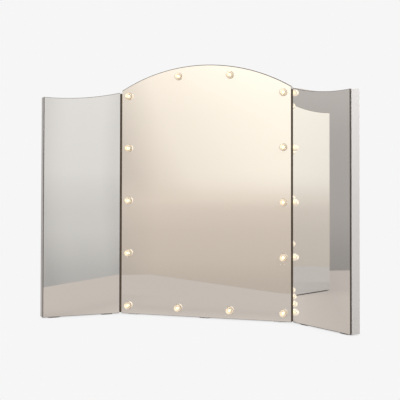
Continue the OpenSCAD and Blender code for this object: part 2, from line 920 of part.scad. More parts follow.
centre_mirror_glass();
centre_foam_sheet();
centre_casing();
centre_back_cover();
centre_cover_screws();
centre_feet();
bulb_dome(1);  // bulb_dome_1
bulb_dome(2);  // bulb_dome_2
bulb_dome(3);  // bulb_dome_3
bulb_dome(4);  // bulb_dome_4
bulb_dome(5);  // bulb_dome_5
bulb_dome(6);  // bulb_dome_6
bulb_dome(7);  // bulb_dome_7
bulb_dome(8);  // bulb_dome_8
bulb_dome(9);  // bulb_dome_9
bulb_dome(10);  // bulb_dome_10
bulb_dome(11);  // bulb_dome_11
bulb_dome(12);  // bulb_dome_12
bulb_dome(13);  // bulb_dome_13
bulb_dome(14);  // bulb_dome_14
led_lamps();
led_spacers();
led_board_left();
led_board_right();
led_board_top();
led_board_bottom();
wiring_loom();
driver_board();
switch_body();
switch_slider();
power_inlet();
battery_tray();
battery_cell(1);  // battery_cell_1
battery_cell(2);  // battery_cell_2
battery_cell(3);  // battery_cell_3
battery_cell(4);  // battery_cell_4
battery_contacts();
battery_door();
left_mirror_glass();
left_foam_sheet();
left_casing();
left_back_cover();
left_cover_screws();
left_feet();
right_mirror_glass();
right_foam_sheet();
right_casing();
right_back_cover();
right_cover_screws();
right_feet();
left_hinge_centre_leaf();
left_hinge_wing_leaf();
left_hinge_pin();
left_hinge_centre_screws();
left_hinge_wing_screws();
right_hinge_centre_leaf();
right_hinge_wing_leaf();
right_hinge_pin();
right_hinge_centre_screws();
right_hinge_wing_screws();
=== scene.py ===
"""Looks of the lighted folding vanity mirror, built round its packed construction model.

The mirror sheets, bulbs, lamps, screws, cells and the switch knob are modelled here in full detail.
Every other part keeps its construction mesh and gets its finish here. Lengths are in metres.
"""

import json
import logging
import math
from dataclasses import dataclass
from enum import Enum
from typing import Iterable

import bmesh
import bpy
from mathutils import Matrix, Vector

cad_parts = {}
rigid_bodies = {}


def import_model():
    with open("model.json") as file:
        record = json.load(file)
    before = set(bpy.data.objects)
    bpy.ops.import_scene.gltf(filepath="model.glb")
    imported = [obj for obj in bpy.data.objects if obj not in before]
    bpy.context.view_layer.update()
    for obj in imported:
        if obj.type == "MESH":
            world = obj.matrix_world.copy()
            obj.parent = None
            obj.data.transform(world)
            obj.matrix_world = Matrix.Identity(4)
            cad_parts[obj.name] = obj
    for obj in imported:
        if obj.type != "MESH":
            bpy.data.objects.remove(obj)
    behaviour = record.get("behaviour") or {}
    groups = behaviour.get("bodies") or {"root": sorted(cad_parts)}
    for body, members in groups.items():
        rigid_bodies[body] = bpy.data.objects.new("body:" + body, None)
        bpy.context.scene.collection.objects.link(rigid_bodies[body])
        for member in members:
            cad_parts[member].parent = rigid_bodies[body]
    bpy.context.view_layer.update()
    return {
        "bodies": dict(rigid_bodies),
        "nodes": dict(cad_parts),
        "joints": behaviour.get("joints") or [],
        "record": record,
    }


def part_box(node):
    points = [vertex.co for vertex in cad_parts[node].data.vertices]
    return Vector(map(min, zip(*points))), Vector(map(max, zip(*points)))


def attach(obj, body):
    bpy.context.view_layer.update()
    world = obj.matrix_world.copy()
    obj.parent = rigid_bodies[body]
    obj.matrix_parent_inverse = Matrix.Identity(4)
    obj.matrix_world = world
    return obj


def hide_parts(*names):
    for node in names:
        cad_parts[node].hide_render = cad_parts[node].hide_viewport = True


MM = 0.001
BULBS = 14
CELLS = 4
# How near two points count as one, in a part from the frame and in a turned one.
WELD = 0.001 * MM
SPUN_WELD = 0.005 * MM
# How much of a unit direction lies along an axis that it is said to follow.
ALIGNED = 0.99
# An edge that folds more than this stays sharp.
SHARP = math.radians(40)
# A ray has met a mirror once its count of mirrors is over this.
ONE_MIRROR = 0.5

Colour = tuple[float, float, float, float]
Point = tuple[float, float, float]
Tones = tuple[tuple[float, float], ...]
Socket = bpy.types.NodeSocket
Mesh = bmesh.types.BMesh
Vert = bmesh.types.BMVert
Edge = bmesh.types.BMEdge

logging.basicConfig(level=logging.INFO, format="%(name)s: %(message)s")
log = logging.getLogger("vanity_mirror")


def srgb(red: float, green: float, blue: float) -> Colour:
    """Turn a colour in 8-bit display values into a linear one.

    Args:
        red: Red, from 0 to 255.
        green: Green, from 0 to 255.
        blue: Blue, from 0 to 255.

    Returns:
        The linear colour with full alpha.
    """

    def linear(value: float) -> float:
        """Undo the display curve of one channel."""
        share = value / 255
        return share / 12.92 if share <= 0.04045 else ((share + 0.055) / 1.055) ** 2.4

    return (linear(red), linear(green), linear(blue), 1.0)


def toned(colour: Colour, share: float) -> Colour:
    """Return a darker or lighter tone of a colour, with full alpha."""
    return tuple(min(1.0, share * c) for c in colour[:3]) + (1.0,)


BLACK = (0.0, 0.0, 0.0, 1.0)
WHITE = (1.0, 1.0, 1.0, 1.0)
BACKDROP = srgb(246, 246, 246)


class NodeSheet:
    """A node tree that starts empty, with short ways to add and join nodes."""

    def __init__(self, tree: bpy.types.NodeTree) -> None:
        """Clear the tree.

        Args:
            tree: The material's or world's node tree.
        """
        self.tree = tree
        tree.nodes.clear()

    def add(self, kind: str, inputs: dict | None = None, **settings: object) -> bpy.types.Node:
        """Add a node.

        Args:
            kind: The node's type without its ShaderNode prefix.
            inputs: Values or sockets by input name or index. A socket is linked.
            **settings: The node's own attributes.

        Returns:
            The new node.
        """
        node = self.tree.nodes.new("ShaderNode" + kind)
        for name, value in settings.items():
            setattr(node, name, value)
        for name, value in (inputs or {}).items():
            if isinstance(value, Socket):
                self.tree.links.new(value, node.inputs[name])
            else:
                node.inputs[name].default_value = value
        return node

    def math(self, operation: str, *values: float | Socket) -> Socket:
        """Add a Math node.

        Args:
            operation: The Math node's operation.
            *values: Numbers or sockets for its inputs.

        Returns:
            The result's socket.
        """
        return self.add("Math", dict(enumerate(values)), operation=operation).outputs[0]

    def span(
        self, value: Socket, low: float, high: float, start: float = 0.0, end: float = 1.0,
        style: str = "LINEAR",
    ) -> Socket:
        """Map a value from one range to another, held at the ends.

        Args:
            value: The value to map.
            low: Where the result is start.
            high: Where the result is end.
            start: The result at low.
            end: The result at high.
            style: How the result runs between them.

        Returns:
            The mapped value's socket.
        """
        inputs = {"Value": value, "From Min": low, "From Max": high, "To Min": start, "To Max": end}
        return self.add("MapRange", inputs, interpolation_type=style).outputs["Result"]

    def mix(
        self, share: float | Socket, first: Colour | Socket, second: Colour | Socket, blend: str = "MIX"
    ) -> Socket:
        """Mix two colours.

        Args:
            share: How much of the second, a number or a socket.
            first: The first colour or socket.
            second: The second colour or socket.
            blend: The blending mode.

        Returns:
            The mixed colour's socket.
        """
        inputs = {0: share, 6: first, 7: second}
        return self.add("Mix", inputs, data_type="RGBA", blend_type=blend).outputs[2]

    def multiply(self, first: Colour | Socket, second: Colour | Socket) -> Socket:
        """Multiply two colours."""
        return self.mix(1.0, first, second, "MULTIPLY")

    def ramp(self, value: Socket, tones: Tones) -> Socket:
        """Lay out brightness by stops along a value.

        Args:
            value: The value that runs along the stops.
            tones: The value and the brightness of each stop, from the lowest up.

        Returns:
            The brightness as a colour.
        """
        low, high = tones[0][0], tones[-1][0]
        node = self.add("ValToRGB", {"Fac": self.span(value, low, high)})
        stops = node.color_ramp.elements
        while len(stops) < len(tones):
            stops.new(0.5)
        for stop, (spot, tone) in zip(stops, tones):
            stop.position = (spot - low) / (high - low)
            stop.color = (tone, tone, tone, 1.0)
        return node.outputs["Color"]

    def place(self) -> Socket:
        """Add the piece's own coordinates."""
        return self.add("TexCoord").outputs["Object"]

    def noise(self, size: float, detail: float = 2.0, stretch: Point = (1.0, 1.0, 1.0)) -> Socket:
        """Add noise on the piece's own coordinates.

        Args:
            size: The size of a grain in metres.
            detail: The noise's levels of detail.
            stretch: A scale for each axis.

        Returns:
            The noise's grey value, around 0.5.
        """
        turned = self.add("Mapping", {"Vector": self.place(), "Scale": stretch}).outputs["Vector"]
        return self.add("TexNoise", {"Vector": turned, "Scale": 1 / size, "Detail": detail}).outputs[0]

    def cells(self, size: float) -> Socket:
        """Add rounded cells on the piece's own coordinates.

        Args:
            size: The size of a cell in metres.

        Returns:
            The distance from each cell's middle.
        """
        return self.add("TexVoronoi", {"Vector": self.place(), "Scale": 1 / size}).outputs["Distance"]

    def bump(self, height: Socket, depth: float, strength: float = 1.0) -> Socket:
        """Add a bump.

        Args:
            height: The height from 0 to 1.
            depth: The depth of the full range in metres.
            strength: How much of the bump shows.

        Returns:
            The bumped normal.
        """
        return self.add("Bump", {"Height": height, "Distance": depth, "Strength": strength}).outputs[0]

    def nook_shade(self, reach: float, tones: Tones, samples: int = 16) -> Socket:
        """Darken a surface where other pieces stand close to it.

        Args:
            reach: How far the shade reaches in metres.
            tones: The brightness from fully enclosed, at 0, to open, at 1.
            samples: How many directions are tried.

        Returns:
            The brightness as a colour.
        """
        near = self.add("AmbientOcclusion", {"Distance": reach}, samples=samples).outputs["AO"]
        return self.ramp(near, tones)

    def surface(self, inputs: dict) -> Socket:
        """Add the shader of a solid surface from its inputs."""
        return self.add("BsdfPrincipled", inputs).outputs[0]

    def finish(self, shader: Socket, output: str = "OutputMaterial") -> None:
        """Join a shader to the tree's output.

        Args:
            shader: The last shader's socket.
            output: The output node's type.
        """
        self.add(output, {"Surface": shader})


@dataclass(frozen=True)
class Finish:
    """A surface finish, with its material made on its first use."""

    name: str
    slot: str
    colour: Colour

    def material(self) -> bpy.types.Material:
        """Return the finish's material."""
        made = bpy.data.materials.get(self.name)
        if made is None:
            made = bpy.data.materials.new(self.name)
            made.use_nodes = True
            sheet = NodeSheet(made.node_tree)
            sheet.finish(self.shade(sheet))
        return made

    def shade(self, sheet: NodeSheet) -> Socket:
        """Lay out the finish's nodes and return the last shader."""
        raise NotImplementedError


@dataclass(frozen=True)
class SilveredGlass(Finish):
    """Mirror glass seen from its front, with the faint haze of a wiped sheet."""

    blur: float = 0.03
    clear: float = 0.95

    def shade(self, sheet: NodeSheet) -> Socket:
        """Lay out a clear metal reflection under a little haze, whose roughness drifts."""
        wipe = sheet.noise(0.12, 3.0, (1.0, 1.0, 0.35))
        return sheet.surface({
            "Base Color": self.colour,
            "Metallic": self.clear,
            "Roughness": sheet.span(wipe, 0.35, 0.7, 0.0, self.blur),
        })

    def reflectance(self) -> Colour:
        """Return the share of the light that the sheet mirrors."""
        return toned(self.colour, self.clear)


@dataclass(frozen=True)
class PolishedEdge(Finish):
    """The ground and polished rim of a glass sheet."""

    roughness: float = 0.3

    def shade(self, sheet: NodeSheet) -> Socket:
        """Lay out dark glass with fine grinding marks."""
        marks = sheet.noise(1.2 * MM, 4.0)
        return sheet.surface({
            "Base Color": sheet.mix(marks, toned(self.colour, 0.8), self.colour),
            "Roughness": sheet.span(marks, 0.2, 0.8, self.roughness, self.roughness + 0.2),
            "Normal": sheet.bump(marks, 0.02 * MM, 0.4),
        })


@dataclass(frozen=True)
class SilverPaint(Finish):
    """Satin silver paint on a moulded casing, with flake and a little orange peel."""

    metallic: float = 0.15
    roughness: float = 0.45

    def shade(self, sheet: NodeSheet) -> Socket:
        """Lay out flake in the colour and the gloss, over a soft peel."""
        flake = sheet.noise(0.25 * MM, 1.0)
        peel = sheet.noise(2.4 * MM)
        cloud = sheet.noise(60 * MM)
        dark, light = toned(self.colour, 0.975), toned(self.colour, 1.015)
        flaked = sheet.mix(sheet.span(flake, 0.3, 0.7), dark, light)
        return sheet.surface({
            "Base Color": sheet.mix(sheet.span(cloud, 0.3, 0.7, 0.0, 0.35), flaked, dark),
            "Metallic": self.metallic,
            "Roughness": sheet.span(flake, 0.2, 0.8, self.roughness - 0.02, self.roughness + 0.04),
            "Normal": sheet.bump(peel, 0.01 * MM, 0.15),
            "Coat Weight": 0.15,
            "Coat Roughness": 0.3,
        })


@dataclass(frozen=True)
class GrainedMoulding(Finish):
    """A moulded, foamed or painted surface with a pitted grain."""

    grain: float = 0.7 * MM
    depth: float = 0.04 * MM
    roughness: float = 0.55

    def shade(self, sheet: NodeSheet) -> Socket:
        """Lay out a pitted grain, with painted shade that darkens its colour in the pits."""
        pits = sheet.cells(self.grain)
        drift = sheet.noise(25 * MM)
        return sheet.surface({
            # Painted shade: the colour is darker where the pits are deeper.
            "Base Color": sheet.mix(sheet.span(pits, 0.1, 0.7), toned(self.colour, 0.82), self.colour),
            "Roughness": sheet.span(drift, 0.3, 0.7, self.roughness - 0.07, self.roughness + 0.07),
            "Normal": sheet.bump(pits, self.depth, 0.6),
        })


@dataclass(frozen=True)
class PlatedMetal(Finish):
    """Plated or bronzed metal with fine marks and worn patches."""

    worn: Colour = (0.5, 0.5, 0.5, 1.0)
    wear: float = 0.15
    roughness: float = 0.3
    metallic: float = 1.0

    def shade(self, sheet: NodeSheet) -> Socket:
        """Lay out the plating, lighter where it is rubbed."""
        rub = sheet.noise(5 * MM, 4.0)
        marks = sheet.noise(0.5 * MM, 3.0, (1.0, 1.0, 0.2))
        return sheet.surface({
            "Base Color": sheet.mix(sheet.span(rub, 0.45, 0.75, 0.0, self.wear), self.colour, self.worn),
            "Metallic": self.metallic,
            "Roughness": sheet.span(marks, 0.25, 0.75, self.roughness - 0.08, self.roughness + 0.15),
            "Normal": sheet.bump(marks, 0.01 * MM, 0.4),
        })


@dataclass(frozen=True)
class ClearMoulding(Finish):
    """Pearled clear plastic or rubber, which may carry a painted glow that stands in for a lamp's light
    inside it.
    """

    # The painted glow's strength all over and in the crown, and its colour.
    glow: float = 0.1
    painted_core_glow: float = 0.32
    glow_colour: Colour = srgb(255, 229, 190)
    pearl: float = 0.14
    painted_glow_map: str = "core"

    def shade(self, sheet: NodeSheet) -> Socket:
        """Lay out clear plastic with faint flow marks and the lamp's light painted as a glow, strongest in
        its crown.
        """
        flow = sheet.noise(3 * MM)
        # Painted light: the plastic itself emits a glow, stronger where the map on its vertices is high.
        light: float | Socket = self.glow
        if self.painted_core_glow != self.glow:
            core = sheet.add("Attribute", attribute_name=self.painted_glow_map).outputs["Fac"]
            light = sheet.span(core, 0.0, 1.0, self.glow, self.painted_core_glow)
        return sheet.surface({
            "Base Color": self.colour,
            "Roughness": sheet.span(flow, 0.3, 0.7, self.pearl - 0.03, self.pearl + 0.03),
            "IOR": 1.49,
            "Transmission Weight": 1.0,
            "Emission Color": self.glow_colour,
            "Emission Strength": light,
        })


@dataclass(frozen=True)
class LitLens(Finish):
    """The lit lens of a lamp, with its phosphor a little uneven."""

    strength: float = 0.82
    phosphor: Colour = srgb(255, 222, 180)

    def shade(self, sheet: NodeSheet) -> Socket:
        """Lay out a warm white light with a fine grain."""
        grain = sheet.span(sheet.cells(0.6 * MM), 0.2, 0.9, 0.0, 0.35)
        return sheet.surface({
            "Base Color": self.colour,
            "Roughness": 0.3,
            "Emission Color": sheet.mix(grain, self.colour, self.phosphor),
            "Emission Strength": self.strength,
        })


@dataclass(frozen=True)
class PrintedBoard(Finish):
    """Solder resist over copper tracks."""

    track: Colour = (0.1, 0.3, 0.12, 1.0)
    pitch: float = 4 * MM
    track_share: float = 0.08

    def shade(self, sheet: NodeSheet) -> Socket:
        """Lay out tracks as raised lines under a glossy resist."""
        turned = sheet.add("Mapping", {"Vector": sheet.place(), "Rotation": (math.pi / 2, 0.0, 0.0)})
        tracks = sheet.add("TexBrick", {
            "Vector": turned.outputs[0],
            "Scale": 1 / self.pitch,
            "Mortar Size": self.track_share,
            "Color1": BLACK,
            "Color2": (0.15, 0.15, 0.15, 1.0),
            "Mortar": WHITE,
        }).outputs["Color"]
        return sheet.surface({
            "Base Color": sheet.mix(tracks, self.colour, self.track),
            "Roughness": 0.35,
            "Normal": sheet.bump(tracks, 0.03 * MM, 0.5),
            "Coat Weight": 0.4,
        })


MIRROR = SilveredGlass("silvered_glass", "mirror", (0.92, 0.945, 0.97, 1.0))
GLASS_EDGE = PolishedEdge("polished_glass_edge", "mirror", srgb(76, 67, 59))
BACKING = GrainedMoulding("mirror_backing_paint", "mirror", srgb(96, 98, 96), roughness=0.7)
FOAM = GrainedMoulding("dark_foam", "foam", srgb(52, 45, 39), grain=0.5 * MM, depth=0.2 * MM, roughness=0.95)
CASING = SilverPaint("silver_paint", "casing", srgb(215, 213, 212))
COVER = GrainedMoulding("grained_cover", "cover", srgb(203, 203, 204))
TRAY = GrainedMoulding("tray_plastic", "cover", srgb(196, 196, 197), grain=1.1 * MM)
RUBBER = ClearMoulding(
    "clear_foot_rubber", "rubber_feet", (0.9, 0.89, 0.87, 1.0), glow=0.0, painted_core_glow=0.0, pearl=0.4
)
ZINC = PlatedMetal("zinc_plate", "screws", srgb(176, 176, 176), worn=srgb(205, 205, 205), wear=0.4)
BRONZE = PlatedMetal(
    "dark_bronze", "hinge_metal", srgb(100, 88, 75), worn=srgb(128, 112, 96), wear=0.3, roughness=0.5,
    metallic=0.6,
)
CLEAR = ClearMoulding("clear_dome_plastic", "clear_dome", (1.0, 0.995, 0.985, 1.0))
LAMP = LitLens("lit_lamp_lens", "lamp", srgb(255, 234, 188))
WHITE_PLASTIC = GrainedMoulding("white_spacer", "white_plastic", srgb(240, 238, 233), depth=0.02 * MM)
BOARD = PrintedBoard("green_resist", "circuit_board", srgb(24, 84, 50), track=srgb(46, 118, 70))
LAMP_BOARD = PrintedBoard("white_resist", "circuit_board", srgb(228, 228, 222), track=srgb(206, 206, 198))
WIRE = GrainedMoulding("wire_insulation", "wire", srgb(150, 28, 24), grain=2.0 * MM, roughness=0.4)
BLACK_PLASTIC = GrainedMoulding("black_switch_plastic", "black_plastic", srgb(40, 40, 41))
NICKEL = PlatedMetal(
    "nickel_plate", "contact_metal", srgb(205, 202, 196), worn=srgb(226, 224, 220), roughness=0.22
)
SLEEVE = PlatedMetal(
    "cell_sleeve", "cell", srgb(158, 132, 66), worn=srgb(178, 152, 84), wear=0.5, roughness=0.4, metallic=0.5
)
CELL_BAND = GrainedMoulding("cell_dark_band", "cell", srgb(44, 44, 46), roughness=0.35)


class Panel(Enum):
    """The mirror's three panels, each with the body that it rides on."""

    CENTRE = "centre"
    LEFT = "left_wing"
    RIGHT = "right_wing"

    @property
    def word(self) -> str:
        """The panel's word in its nodes' names."""
        return self.value.split("_")[0]

    def node(self, part: str) -> str:
        """Return the name of one of the panel's nodes."""
        return f"{self.word}_{part}"

    def facing(self, frame: dict) -> Vector:
        """Return the direction that the panel's mirror faces.

        Args:
            frame: The loaded frame.

        Returns:
            The unit normal of the mirror's front.
        """
        faces = frame["nodes"][self.node("mirror_glass")].data.polygons
        front = max((f for f in faces if f.normal.y < 0), key=lambda f: f.area)
        return front.normal.copy()


def middle_of(node: str) -> Vector:
    """Return the middle of a construction node's box."""
    low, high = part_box(node)
    return (low + high) / 2


def paint(node: bpy.types.Object, finish: Finish) -> None:
    """Give a construction node its finish.

    Args:
        node: The construction node.
        finish: Its finish.
    """
    node.data.materials.clear()
    node.data.materials.append(finish.material())
    log.info("%s is finished in %s", node.name, finish.name)


def new_object(name: str, bm: Mesh, *materials: bpy.types.Material) -> bpy.types.Object:
    """Turn a mesh under construction into an object of the scene.

    Args:
        name: The object's name.
        bm: The mesh, which is freed.
        *materials: One material for each slot.

    Returns:
        The new object.
    """
    mesh = bpy.data.meshes.new(name)
    for material in materials:
        mesh.materials.append(material)
    bm.to_mesh(mesh)
    bm.free()
    made = bpy.data.objects.new(name, mesh)
    bpy.context.scene.collection.objects.link(made)
    return made


def new_piece(name: str, bm: Mesh, body: str, node: str, *finishes: Finish) -> bpy.types.Object:
    """Make a finished piece from a mesh under construction.

    Args:
        name: The piece's name.
        bm: The mesh in the row frame, which is freed.
        body: The body that it rides on.
        node: The construction node that it stands for.
        *finishes: One finish for each material slot.

    Returns:
        The new object.
    """
    piece = new_object(name, bm, *(finish.material() for finish in finishes))
    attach(piece, body)
    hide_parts(node)
    log.info("%s rides on %s with %d faces", name, body, len(piece.data.polygons))
    return piece


def draw(bm: Mesh, points: Iterable[Point], start: Vert | None = None) -> Vert:
    """Draw a line through points.

    Args:
        bm: The mesh that takes the line.
        points: The points in order.
        start: The vertex that the line starts from, if it has one.

    Returns:
        The line's last vertex.
    """
    last = start
    for point in points:
        vert = bm.verts.new(point)
        if last is not None:
            bm.edges.new((last, vert))
        last = vert
    return last


def crown_arc(bm: Mesh, centre: Point, radius: float, steps: int) -> Vert:
    """Draw a quarter circle from the tip of a dome round to its side.

    Args:
        bm: The mesh that takes it.
        centre: The circle's centre, behind the tip.
        radius: The circle's radius.
        steps: The number of straight pieces.

    Returns:
        Its last vertex, at the side.
    """
    tip = bm.verts.new((centre[0], centre[1] - radius, centre[2]))
    made = bmesh.ops.spin(bm, geom=[tip], cent=centre, axis=(0, 0, 1), angle=math.pi / 2, steps=steps)
    return made["geom_last"][0]


def turn(bm: Mesh, centre: Vector, axis: Point, steps: int) -> None:
    """Turn a profile full circle about an axis, with smooth faces that point outwards.

    Args:
        bm: A mesh that holds the profile alone.
        centre: A point on the axis.
        axis: The axis's direction.
        steps: The number of flats round it.
    """
    profile = [*bm.verts, *bm.edges]
    bmesh.ops.spin(bm, geom=profile, cent=centre, axis=axis, angle=2 * math.pi, steps=steps, use_merge=True)
    bmesh.ops.remove_doubles(bm, verts=bm.verts, dist=SPUN_WELD)
    bmesh.ops.recalc_face_normals(bm, faces=bm.faces)
    for face in bm.faces:
        face.smooth = True


def islands(bm: Mesh) -> list[list[Vert]]:
    """Split a mesh into its separate solids.

    Args:
        bm: A mesh with merged vertices.

    Returns:
        The vertices of each solid.
    """
    left = set(bm.verts)
    found = []
    while left:
        group, front = [], [left.pop()]
        while front:
            vert = front.pop()
            group.append(vert)
            beside = {edge.other_vert(vert) for edge in vert.link_edges} & left
            left -= beside
            front.extend(beside)
        found.append(group)
    return found


def solid_places(node: bpy.types.Object, axis: Vector) -> list[Vector]:
    """Find where each screw of a node ends on its head's side.

    Args:
        node: A construction node of several like solids.
        axis: The direction from a screw's tip to its head.

    Returns:
        The middle of each head's outer face, upright row by row, from the lowest up.
    """
    bm = bmesh.new()
    bm.from_mesh(node.data)
    bmesh.ops.remove_doubles(bm, verts=bm.verts, dist=WELD)
    places = []
    for group in islands(bm):
        reach = max(v.co.dot(axis) for v in group)
        middle = sum((v.co for v in group), Vector()) / len(group)
        places.append(middle + axis * (reach - middle.dot(axis)))
    bm.free()
    return sorted(places, key=lambda p: (round(p.x, 3), p.z))


@dataclass
class MirrorPanel:
    """One panel: its silvered sheet with a polished rim, casing, cover and feet."""

    panel: Panel
    arris: float = 0.8 * MM
    low_arris: float = 0.8 * MM
    fine_arris: float = 0.25 * MM
    hinge_reach: float = 8 * MM
    low_reach: float = 4 * MM
    hole_reach: float = 12 * MM
    least_upright: float = 0.3
    rim_lean: float = 0.5
    flat_angle: float = math.radians(0.2)

    def build(self, frame: dict) -> None:
        """Cut the mirror sheet with its arrises.

        Args:
            frame: The loaded frame.
        """
        node = self.panel.node("mirror_glass")
        facing = self.panel.facing(frame)
        bm = bmesh.new()
        bm.from_mesh(frame["nodes"][node].data)
        bmesh.ops.remove_doubles(bm, verts=bm.verts, dist=WELD)
        bmesh.ops.dissolve_limit(bm, angle_limit=self.flat_angle, verts=bm.verts, edges=bm.edges)
        pins = [middle_of(f"{side}_hinge_pin") for side in ("left", "right")]
        holes = [middle_of(f"bulb_dome_{number}") for number in range(1, BULBS + 1)]
        for width in sorted({self.arris, self.low_arris, self.fine_arris}, reverse=True):
            rim = [e for e in bm.edges if self.at_rim(e, facing) and self.width(e, pins, holes) == width]
            bmesh.ops.bevel(
                bm, geom=rim, offset=width, offset_type="OFFSET", affect="EDGES", segments=1,
                profile=0.5, material=-1, clamp_overlap=False,
            )
        bm.normal_update()
        for face in bm.faces:
            lean = face.normal.dot(facing)
            face.material_index = 0 if lean > ALIGNED else 2 if lean < -ALIGNED else 1
            face.smooth = False
        new_piece(self.panel.node("mirror_sheet"), bm, self.panel.value, node, MIRROR, GLASS_EDGE, BACKING)

    def at_rim(self, edge: Edge, facing: Vector) -> bool:
        """Tell whether an edge lies between the sheet's front or back and its rim.

        Args:
            edge: An edge of the sheet.
            facing: The direction that the sheet faces.

        Returns:
            True where one of its faces lies flat and the other stands.
        """
        leans = [abs(f.normal.dot(facing)) for f in edge.link_faces]
        return len(leans) == 2 and max(leans) > ALIGNED and min(leans) < self.rim_lean

    def width(self, edge: Edge, pins: list[Vector], holes: list[Vector]) -> float:
        """Choose how wide an edge's arris is.

        Args:
            edge: An edge between the sheet's face and its rim.
            pins: The middles of the hinge pins.
            holes: The middles of the bulbs' holes.

        Returns:
            The arris's width.
        """
        start, end = (v.co for v in edge.verts)
        if any(math.dist(start.xz, hole.xz) < self.hole_reach for hole in holes):
            return self.fine_arris
        upright = abs(start.z - end.z) > self.least_upright
        if upright and any(math.dist(start.xy, pin.xy) < self.hinge_reach for pin in pins):
            return self.fine_arris
        return self.low_arris if max(start.z, end.z) < self.low_reach else self.arris

    def dress(self, frame: dict) -> None:
        """Finish the panel's construction parts.

        Args:
            frame: The loaded frame.
        """
        finishes = {"foam_sheet": FOAM, "casing": CASING, "back_cover": COVER, "feet": RUBBER}
        for part, finish in finishes.items():
            paint(frame["nodes"][self.panel.node(part)], finish)


MIRRORS = (
    MirrorPanel(Panel.CENTRE, arris=1.5 * MM, low_arris=0.7 * MM),
    MirrorPanel(Panel.LEFT),
    MirrorPanel(Panel.RIGHT, low_arris=1.2 * MM),
)


@dataclass
class GlobeBulb:
    """One clear dome on the centre panel, with its flange behind the glass."""

    number: int
    wall: float = 1.2 * MM
    flange: float = 1.7 * MM
    flange_t: float = 0.9 * MM
    lit_reach: float = 0.42
    dim_reach: float = 0.72
    steps: int = 48

    def build(self) -> None:
        """Turn the dome's outer and inner skin with its flange about its axis."""
        node = f"bulb_dome_{self.number}"
        low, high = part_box(node)
        middle = (low + high) / 2
        radius = (high.x - low.x) / 2 - self.flange
        crown = (middle.x, low.y + radius, middle.z)
        shelf = high.y - self.flange_t
        foot = [(radius, shelf), (radius + self.flange, shelf), (radius + self.flange, high.y),
                (radius - self.wall, high.y)]
        bm = bmesh.new()
        outer = crown_arc(bm, crown, radius, self.steps // 4)
        inner = crown_arc(bm, crown, radius - self.wall, self.steps // 4)
        end = draw(bm, ((middle.x + out, y, middle.z) for out, y in foot), outer)
        bm.edges.new((end, inner))
        turn(bm, middle, (0, 1, 0), self.steps)
        # Share of the painted glow at each vertex: full near the dome's axis, none beyond dim_reach.
        light = bm.verts.layers.float.new(CLEAR.painted_glow_map)
        for vert in bm.verts:
            out = math.hypot(vert.co.x - middle.x, vert.co.z - middle.z) / radius
            vert[light] = min(1.0, max(0.0, (self.dim_reach - out) / (self.dim_reach - self.lit_reach)))
        piece = new_piece(f"bulb_globe_{self.number}", bm, Panel.CENTRE.value, node, CLEAR)
        piece.data.set_sharp_from_angle(angle=SHARP)


@dataclass
class LampString:
    """The fourteen lit lamps inside the domes, as one piece."""

    collar: float = 0.15 * MM
    collar_t: float = 0.9 * MM
    arc_steps: int = 8
    steps: int = 24

    def build(self) -> None:
        """Turn one lens with its collar for each bulb."""
        low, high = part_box("led_lamps")
        radius = abs(low.x - middle_of("bulb_dome_1").x)
        bm = bmesh.new()
        for number in range(1, BULBS + 1):
            middle = middle_of(f"bulb_dome_{number}")
            self.lens(bm, Vector((middle.x, high.y, middle.z)), low.y, radius)
        piece = new_piece("led_lamps_lit", bm, Panel.CENTRE.value, "led_lamps", LAMP)
        piece.data.set_sharp_from_angle(angle=SHARP)

    def lens(self, bm: Mesh, base: Vector, tip: float, radius: float) -> None:
        """Turn one lens about its own axis.

        Args:
            bm: The mesh that takes the lens.
            base: The middle of the lens's base.
            tip: Where its tip is along Y.
            radius: Its collar's radius.
        """
        body = radius - self.collar
        shelf = base.y - self.collar_t
        part = bmesh.new()
        side = crown_arc(part, (base.x, tip + body, base.z), body, self.arc_steps)
        foot = [(body, shelf), (radius, shelf), (radius, base.y), (0.0, base.y)]
        draw(part, ((base.x + out, y, base.z) for out, y in foot), side)
        turn(part, base, (0, 1, 0), self.steps)
        mesh = bpy.data.meshes.new("lens_part")
        part.to_mesh(mesh)
        part.free()
        bm.from_mesh(mesh)
        bpy.data.meshes.remove(mesh)


